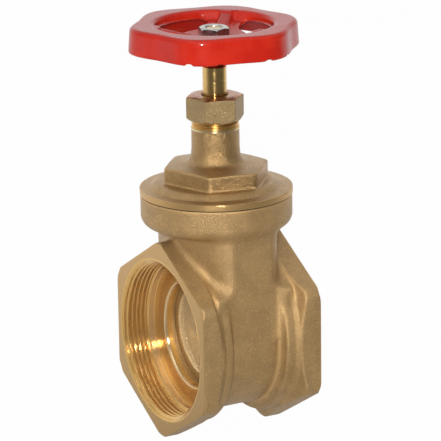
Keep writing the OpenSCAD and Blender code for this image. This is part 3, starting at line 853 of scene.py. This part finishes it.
def body_brass():
    """Body, turned on its two end faces."""
    def machined(m):
        t = m.tree
        below_flange = calc(t, "SUBTRACT", 1.0, over(m, m.z, FLANGE_FOOT - 2))
        return times(t, over(m, calc(t, "ABSOLUTE", m.x), HALF - 0.2), below_flange)

    return cast_brass("cast_brass_body", machined, lambda m: m.length(m.y, m.z), (188, 153, 103))


def bonnet_brass():
    """Bonnet, smoother than the body, turned bright round the side of its rim."""
    def machined(m):
        side = over(m, m.length(m.x, m.y), RIM_R - 0.5)
        return times(m.tree, side, within(m, m.z, RIM_FOOT - 1, RIM_TOP + 0.2))

    return cast_brass("cast_brass_bonnet", machined, lambda m: m.z, (184, 150, 101), metal=0.85,
        rough=0.42)


def nut_brass():
    """Gland nut, greyer than the other castings, with red paint left on its turned top."""
    def machined(m):
        t = m.tree
        slope = 0.24
        cone = calc(t, "ADD", m.z, times(t, m.length(m.x, m.y), slope))
        cone = over(m, cone, NUT_HIGH[2] + slope * NUT_TOP_R - 0.25)
        return calc(t, "MAXIMUM", cone, over(m, m.z, NUT_HIGH[2] - 0.3))

    return cast_brass("cast_brass_nut", machined, lambda m: m.length(m.x, m.y), (173, 146, 102), 0.2,
        stain=0.65)


def gate_brass():
    """Gate, turned on its two sealing rings and grainy in the hollows inside them."""
    def machined(m):
        t = m.tree
        r = m.length(m.y, m.z)
        return times(t, over(m, r, GATE_HOLLOW_R + 1), over(m, calc(t, "ABSOLUTE", m.x), 8))

    return cast_brass("cast_brass_gate", machined, lambda m: m.length(m.y, m.z), (236, 208, 160),
        coarse=1.5, relief=1.5)


def turned_brass(name, axis, along, tones, roughness, lines=0.012, metal=1.0, drawn=0.75):
    """Brass fresh from the lathe, its highlights drawn out across the tool's fine lines.

    The two tones, lighter first, are screen colours or outputs worked out by the caller."""
    m = Skin(name, Metallic=metal, Anisotropic=drawn, Anisotropic_Rotation=0.25)
    t = m.tree
    lighter, darker = tones(m)
    m.link(Tangent=put(t, "ShaderNodeTangent", direction_type="RADIAL", axis=axis).outputs[0])
    feed, patch = m.rings(along(m), 0.3), m.noise(4)
    tone = tint(t, remap(t, feed, 0.3, 0.7), darker, lighter)
    tone = wash(t, patch, 0.5, 0.8, 0.35, tone, darker)
    rough = remap(t, patch, 0.3, 0.7, roughness, roughness + 0.1)
    return m.link(Base_Color=tone, Roughness=rough, Normal=m.bump(feed, lines))


def two_tones(m, share, lighter, darker, other_lighter, other_darker):
    """Lighter and darker tone of turned brass, both going over to others by share."""
    pairs = (lighter, other_lighter), (darker, other_darker)
    return [tint(m.tree, share, rgb(*first), rgb(*second)) for first, second in pairs]


def stem_tones(m):
    """Bright shank, with the wheel's red paint run a little way down it."""
    paint = within(m, m.z, PAINT_FOOT, HUB_FOOT)
    return two_tones(m, paint, (226, 192, 128), (208, 170, 104), (176, 58, 36), (146, 46, 28))


def neck_tones(m):
    """Golden thread above a paler turned ring."""
    thread = over(m, m.z, NECK_THREAD_FOOT - 0.1)
    return two_tones(m, thread, (240, 222, 180), (222, 200, 154), (232, 190, 120), (210, 162, 92))


def port_feed(m):
    """Way that the tool feeds in a port: along its bores and across its flat faces."""
    return calc(m.tree, "ADD", m.length(m.y, m.z), calc(m.tree, "ABSOLUTE", m.x))


def port_tones(m):
    """Golden thread, stop face and seat bore; the plain bore and the seat's mouth are paler."""
    along = calc(m.tree, "ABSOLUTE", m.x)
    plain = within(m, along, STOP_X + 0.2, THREAD_END_X - 0.4)
    plain = calc(m.tree, "MAXIMUM", plain, within(m, along, STOP_X - SEAT_MOUTH, STOP_X - 0.04))
    return two_tones(m, plain, (240, 198, 126), (216, 168, 94), (238, 208, 160), (224, 190, 138))


def red_enamel():
    """Glossy stoved enamel with a slight orange peel, thin on the sheet's edges, with painted shade in its
    recesses and inside the skirt.
    """
    m = Skin("red_enamel", IOR=1.45, Coat_Weight=0.35, Coat_Roughness=0.04, Specular_IOR_Level=0.15)
    t = m.tree
    edge, recess = m.values()
    patch, peel = m.noise(12), m.noise(1.8, 2.0)
    colour = tint(t, remap(t, patch, 0.3, 0.7), rgb(182, 30, 15), rgb(196, 40, 21))
    # painted shade: darker red in recesses
    colour = wash(t, recess, 0.3, 0.9, 0.5, colour, rgb(150, 16, 10))
    colour = wash(t, edge, 0.45, 0.9, 0.12, colour, rgb(120, 60, 48))
    # painted shade inside the skirt, deepening towards the top under the band
    turn = calc(t, "SUBTRACT", calc(t, "ARCTAN2", m.y, m.x), radians(WHEEL_TURN))
    lobes = calc(t, "COSINE", times(t, turn, 6))
    out = calc(t, "SUBTRACT", m.length(m.x, m.y), times(t, lobes, WHEEL_LOBE * MM))
    inside = within(m, out, BAND_R + 0.8, WHEEL_MEAN_R - 1.6)
    inside = calc(t, "SUBTRACT", inside, over(m, m.z, WHEEL_TOP - 1.4))
    deep = remap(t, m.z, (WHEEL_TOP - 7) * MM, (WHEEL_TOP - 3) * MM)
    colour = tint(t, inside, colour, tint(t, deep, rgb(150, 24, 14), rgb(84, 10, 7)))
    rough = remap(t, patch, 0.3, 0.7, 0.22, 0.32)
    return m.link(Base_Color=colour, Roughness=rough, Normal=m.bump(peel, 0.02))


def zinc_plate():
    """Bright zinc plate, a little yellowed, with faint tool lines."""
    m = Skin("zinc_plate", Metallic=1.0)
    t = m.tree
    edge = m.values()[0]
    patch, feed = m.noise(2.5), m.rings(m.length(m.x, m.y), 0.25)
    colour = tint(t, remap(t, patch, 0.3, 0.7), rgb(176, 176, 172), rgb(206, 204, 196))
    # lighter outer edges: partly wear, partly a painted highlight
    colour = tint(t, times(t, edge, 0.4), colour, rgb(236, 236, 236))
    rough = remap(t, patch, 0.3, 0.7, 0.2, 0.34)
    return m.link(Base_Color=colour, Roughness=rough, Normal=m.bump(feed, 0.02))


def joint_sheet():
    """Matt fibre sheet, its cut edge a little ragged."""
    m = Skin("joint_sheet", IOR=1.45)
    t = m.tree
    fibre = m.noise(0.6, 4.0, 0.7)
    colour = tint(t, fibre, rgb(30, 27, 24), rgb(66, 58, 50))
    rough = remap(t, fibre, 0.2, 0.8, 0.75, 0.95)
    return m.link(Base_Color=colour, Roughness=rough, Normal=m.bump(fibre, 0.1))


def packing_cord():
    """Off-white braided packing."""
    m = Skin("packing_cord", IOR=1.4)
    t = m.tree
    turn = times(t, calc(t, "ARCTAN2", m.y, m.x), 14.0)
    rise = times(t, m.z, 2200.0)
    strand, cross = calc(t, "ADD", turn, rise), calc(t, "SUBTRACT", turn, rise)
    weave = calc(t, "MAXIMUM", calc(t, "SINE", strand), calc(t, "SINE", cross))
    height = remap(t, weave, -0.4, 1.0)
    fluff = m.noise(0.4)
    colour = tint(t, height, rgb(170, 166, 150), rgb(224, 222, 210))
    rough = remap(t, fluff, 0.2, 0.8, 0.8, 0.95)
    return m.link(Base_Color=colour, Roughness=rough, Normal=m.bump(height, 0.25))


# --- Pieces ---

def port_liner(side, material):
    """Bored inside of one port: chamfer, thread, plain bore and the stop round the seat."""
    inner = [(h, THREAD_R) for h in steps(HALF, THREAD_END_X, 0.12)]
    mouth = [(STOP_X - along, WATERWAY_R + share * SEAT_MOUTH) for along, share in
        ((0, 1), (0.15, 0.5), (0.45, 0.18))]
    rows = [(HALF, LINER_R + 0.15)] + inner + [(THREAD_END_X - 0.5, RELIEF_R), (STOP_X + 0.25, RELIEF_R),
        (STOP_X, RELIEF_R - 0.25)] + mouth + [(STOP_X - SEAT_MOUTH, WATERWAY_R - 0.02),
        (LINER_END_X, WATERWAY_R - 0.02), (LINER_END_X, WATERWAY_R + 0.8),
        (STOP_X - 2 * LAP, WATERWAY_R + LINER_WALL), (STOP_X - 2 * LAP, RELIEF_R + LINER_WALL),
        (THREAD_END_X - 2 * LAP, RELIEF_R + LINER_WALL), (THREAD_END_X - 2 * LAP, LINER_R + 0.15)]

    def threaded(angle, h, r):
        cut = THREAD_DEPTH * groove(side * h / THREAD_PITCH - angle / (2 * pi))
        cut = cut * held((h - THREAD_END_X) / 1.2)
        chamfer = MOUTH_R - (HALF - h) * (MOUTH_R - THREAD_R) / MOUTH_DEPTH
        return np.where(r == THREAD_R, np.maximum(THREAD_R + cut, chamfer), r)

    spots, faces = spun(rows, 216, "x", threaded)
    spots[:, 0] *= side
    if side < 0:
        faces = [f[::-1] for f in faces]
    name = "port_liner_inlet" if side < 0 else "port_liner_outlet"
    piece(name, spots, faces, material, "valve_body", ["body"])


def neck_thread(material):
    """Thread on the bonnet's neck that the gland nut screws onto, with the turned ring below it."""
    core_r, crest_r, ring_r = NECK_R - 1.6, NECK_R - 0.15, NECK_R + 0.12
    ring_foot = NECK_THREAD_FOOT - 0.9
    crest = [(h, crest_r) for h in steps(NECK_THREAD_FOOT, NECK_TOP - 0.8, 0.1)]
    rows = [(ring_foot, core_r), (ring_foot, ring_r), (NECK_THREAD_FOOT - 0.15, ring_r)] + crest
    rows = rows + [(NECK_TOP, NECK_R - 1.1), (NECK_TOP, core_r)]

    def threaded(angle, h, r):
        cut = NECK_THREAD_DEPTH * groove(h / NECK_THREAD_PITCH - angle / (2 * pi))
        cut = cut * held((h - NECK_THREAD_FOOT) / 0.8)
        return np.where(r == crest_r, r - cut, r)

    spots, faces = spun(rows, 144, "z", threaded)
    piece("neck_thread", spots, faces, material, "valve_body", ["bonnet"])


def stem_piece(material):
    """Stem: screw, thrust collar, ringed shank, the wheel's square and the stud."""
    low, high = STEM_LOW[2], STEM_HIGH[2]
    # the radius marks the rows that are ringed, or cut square
    ringed_r, corner_r = SHANK_R - 0.001, SQUARE * 1.42
    screw = [(h, SCREW_R) for h in steps(low + 0.8, THRUST_TOP - 2.4, 0.25)]
    shank = [(h, ringed_r) for h in steps(THRUST_TOP + 0.3, HUB_FOOT - 0.4, 0.5)]
    square = [(h, corner_r) for h in steps(HUB_FOOT + 0.05, HUB_TOP - 0.25, 0.4)]
    stud = [(h, STUD_R) for h in steps(HUB_TOP - 0.15, high - 0.6, 0.1)]
    rows = [(low, 0.05), (low, SCREW_R - 0.8)] + screw + [(THRUST_TOP - 2.4, THRUST_R),
        (THRUST_TOP, THRUST_R), (THRUST_TOP, SHANK_R)] + shank + [(HUB_FOOT, SHANK_R - 0.15)]
    rows = rows + square + stud + [(high, STUD_R - 0.6), (high, 0.05)]

    def turned_form(angle, h, r):
        # a left-hand screw with flat-topped threads, which runs out below the thrust collar
        wave = np.abs(2 * ((h / SCREW_PITCH + angle / (2 * pi)) % 1) - 1)
        screw_cut = 1.3 * held(2.2 * wave - 0.6) * held((THRUST_TOP - 4 - h) / 1.5)
        r = np.where(r == SCREW_R, r - screw_cut, r)
        a = angle - radians(WHEEL_TURN)
        flat = SQUARE / np.maximum(np.abs(np.cos(a)), np.abs(np.sin(a)))
        r = np.where(r == corner_r, np.minimum(flat, SHANK_R), r)
        stud_cut = 0.5 * groove(h - angle / (2 * pi)) * held((high - 0.5 - h) / 0.6)
        r = np.where(r == STUD_R, r - stud_cut, r)
        rings = sum(0.05 * (np.abs(h - ring) < 0.5) for ring in SHANK_RINGS)
        return np.where(r == ringed_r, r - rings, r)

    spots, faces = spun(rows, 96, "z", turned_form, closed=False)
    piece("stem_turned", spots, faces, material, "spindle", ["stem"])


def packing_rings(material):
    """Three turns of braided cord pressed square in the stuffing box."""
    low, high = place("packing")
    rows, turns, round_off = [], 3, 0.25
    height = (high[2] - low[2]) / turns
    inner, outer = SHANK_R + RUNNING, STUFFING_R - 0.05
    for k in range(turns):
        foot = low[2] + k * height
        rows += [(foot, outer - round_off), (foot + round_off, outer),
            (foot + height - round_off, outer), (foot + height, outer - round_off)]
    rows += [(high[2], inner + 0.1), (high[2] - 0.2, inner), (low[2] + 0.2, inner), (low[2], inner + 0.1)]
    spots, faces = spun(rows, 96, "z")
    piece("packing_rings", spots, faces, material, "valve_body", ["packing"])


def dress():
    """Makes every piece and gives the CAD nodes that stay their materials."""
    lathe = turned_brass("turned_brass", "Z", lambda m: m.z, stem_tones, 0.16, 0.006)
    thread = turned_brass("cut_thread", "X", port_feed, port_tones, 0.16, 0.003, 0.75, 0.93)
    neck = turned_brass("neck_thread_brass", "Z", lambda m: m.z, neck_tones, 0.28)
    cast_piece("body_casting", body_shape, "body", 0.85, body_brass(), "valve_body")
    cast_piece("bonnet_casting", bonnet_shape, "bonnet", 0.6, bonnet_brass(), "valve_body")
    cast_piece("gland_nut_casting", gland_nut_shape, "gland_nut", 0.32, nut_brass(), "valve_body")
    cast_piece("gate_casting", gate_shape, "gate", 0.7, gate_brass(), "wedge")
    cast_piece("handwheel_pressing", wheel_shape, "handwheel", 0.48, red_enamel(), "spindle")
    cast_piece("wheel_nut_plated", wheel_nut_shape, "wheel_nut", 0.2, zinc_plate(), "spindle")
    port_liner(-1, thread)
    port_liner(1, thread)
    neck_thread(neck)
    stem_piece(lathe)
    packing_rings(packing_cord())
    for node, material in (("joint_ring", joint_sheet()), ("gland_ring", lathe)):
        materials = frame["nodes"][node].data.materials
        materials.clear()
        materials.append(material)


# --- Stage ---

def aim(turn, elevation):
    """Way out from the valve at a turn to the camera's right and an elevation, in degrees."""
    a, e = radians(CAMERA_TURN + turn), radians(elevation)
    return Vector((sin(a) * cos(e), -cos(a) * cos(e), sin(e)))


def backdrop_strength(tree, place_or_way, back, front):
    """Strength of the white surround: 1 for the camera, and dimmer in front for mirrors.

    Metal and glass see it white behind the valve and overhead, and dimmer on the side
    where the photographer's room is. Other rays take no light from it."""
    facing = put(tree, "ShaderNodeVectorMath", {0: place_or_way, 1: aim(ROOM_TURN, 0)},
        operation="DOT_PRODUCT").outputs["Value"]
    height = put(tree, "ShaderNodeSeparateXYZ", {"Vector": place_or_way}).outputs[2]
    graded = remap(tree, facing, back, front, 1.0, ROOM_LEVEL)
    overhead = remap(tree, height, 0.3, 0.85, 0.0, 0.85)
    path = put(tree, "ShaderNodeLightPath")
    return calc(tree, "MAXIMUM", calc(tree, "MAXIMUM", graded, overhead), path.outputs["Is Camera Ray"])


def seen_ray(tree):
    """1 for rays that show the background: from the camera, or by way of a mirror or glass."""
    path = put(tree, "ShaderNodeLightPath")
    seen = calc(tree, "MAXIMUM", path.outputs["Is Camera Ray"], path.outputs["Is Glossy Ray"])
    return calc(tree, "MAXIMUM", seen, path.outputs["Is Transmission Ray"])


def show_white(tree, plain, kind, strength, share, output):
    """Puts a white background or glow over a plain shader by share, as the tree's surface."""
    white = put(tree, kind, {"Color": (1, 1, 1, 1), "Strength": strength})
    both = put(tree, "ShaderNodeMixShader", {0: share, 1: plain.outputs[0], 2: white.outputs[0]})
    tree.links.new(both.outputs[0], tree.nodes[output].inputs["Surface"])


def make_world(level):
    """Even soft light, and the white surround that the camera, metal and glass see."""
    world = bpy.data.worlds.new("studio")
    bpy.context.scene.world = world
    world.use_nodes = True
    tree = world.node_tree
    soft = tree.nodes["Background"]
    soft.inputs["Color"].default_value = (1, 1, 1, 1)
    soft.inputs["Strength"].default_value = level
    way = put(tree, "ShaderNodeTexCoord").outputs["Generated"]
    strength = backdrop_strength(tree, way, -0.95, 0.05)
    show_white(tree, soft, "ShaderNodeBackground", strength, seen_ray(tree), "World Output")


def make_floor(size, white_share):
    """Plain pale floor under the valve's lowest corners, which keeps its shadow."""
    z = CAD_BOUNDS[0][2]
    mesh = bpy.data.meshes.new("floor")
    corners = [(-size, -size, z), (size, -size, z), (size, size, z), (-size, size, z)]
    mesh.from_pydata(corners, [], [(0, 1, 2, 3)])
    m = Skin("floor", Base_Color=(0.95, 0.95, 0.95, 1), Roughness=0.9, Specular_IOR_Level=0.0)
    strength = backdrop_strength(m.tree, m.at, -0.35, 0.3)
    share = times(m.tree, seen_ray(m.tree), white_share)
    show_white(m.tree, m.shader, "ShaderNodeEmission", strength, share, "Material Output")
    mesh.materials.append(m.material)
    floor = add("floor", mesh)


def make_lamp(name, turn, elevation, size, power, bounces=8):
    """Square soft lamp that faces the valve, its light followed for so many reflections."""
    data = bpy.data.lights.new(name, "AREA")
    data.size = size
    data.energy = power
    data.cycles.max_bounces = bounces
    way = aim(turn, elevation)
    lamp = add(name, data)
    lamp.location = Vector((CENTRE_X, 0, LAMP_AIM_Z)) * MM + way * LAMP_DISTANCE
    lamp.rotation_euler = way.to_track_quat("Z", "Y").to_euler()


def make_camera():
    """Camera at the photograph's place and angle; its view is level to within a degree."""
    data = bpy.data.cameras.new("camera")
    camera = add("camera", data)
    bpy.context.scene.camera = camera
    back, right, roll = aim(0, CAMERA_ELEVATION), aim(90, 0), radians(CAMERA_ROLL)
    up = back.cross(right)
    turned_right = right * cos(roll) + up * sin(roll)
    turned_up = up * cos(roll) - right * sin(roll)
    matrix = Matrix((turned_right, turned_up, back)).transposed().to_4x4()
    matrix.translation = Vector(CAMERA_PLACE + CENTRE) * MM
    camera.matrix_world = matrix
    data.sensor_width = 36
    data.lens = CAMERA_LENS
    data.clip_start = 0.05
    data.clip_end = 50


make_camera()
dress()
make_world(0.28)
make_floor(8, 0.98)
# The small key lamp stands for the camera's flash. Light that it sends through the port by many
# reflections would show as bright dots, so it is followed for one.
make_lamp("key", -1, 19, 0.15, 11.5, 1)
make_lamp("top", -20, 55, 0.9, 2.5)
make_lamp("left", -70, 20, 1.2, 1.3)
bpy.context.scene.view_settings.view_transform = "Standard"
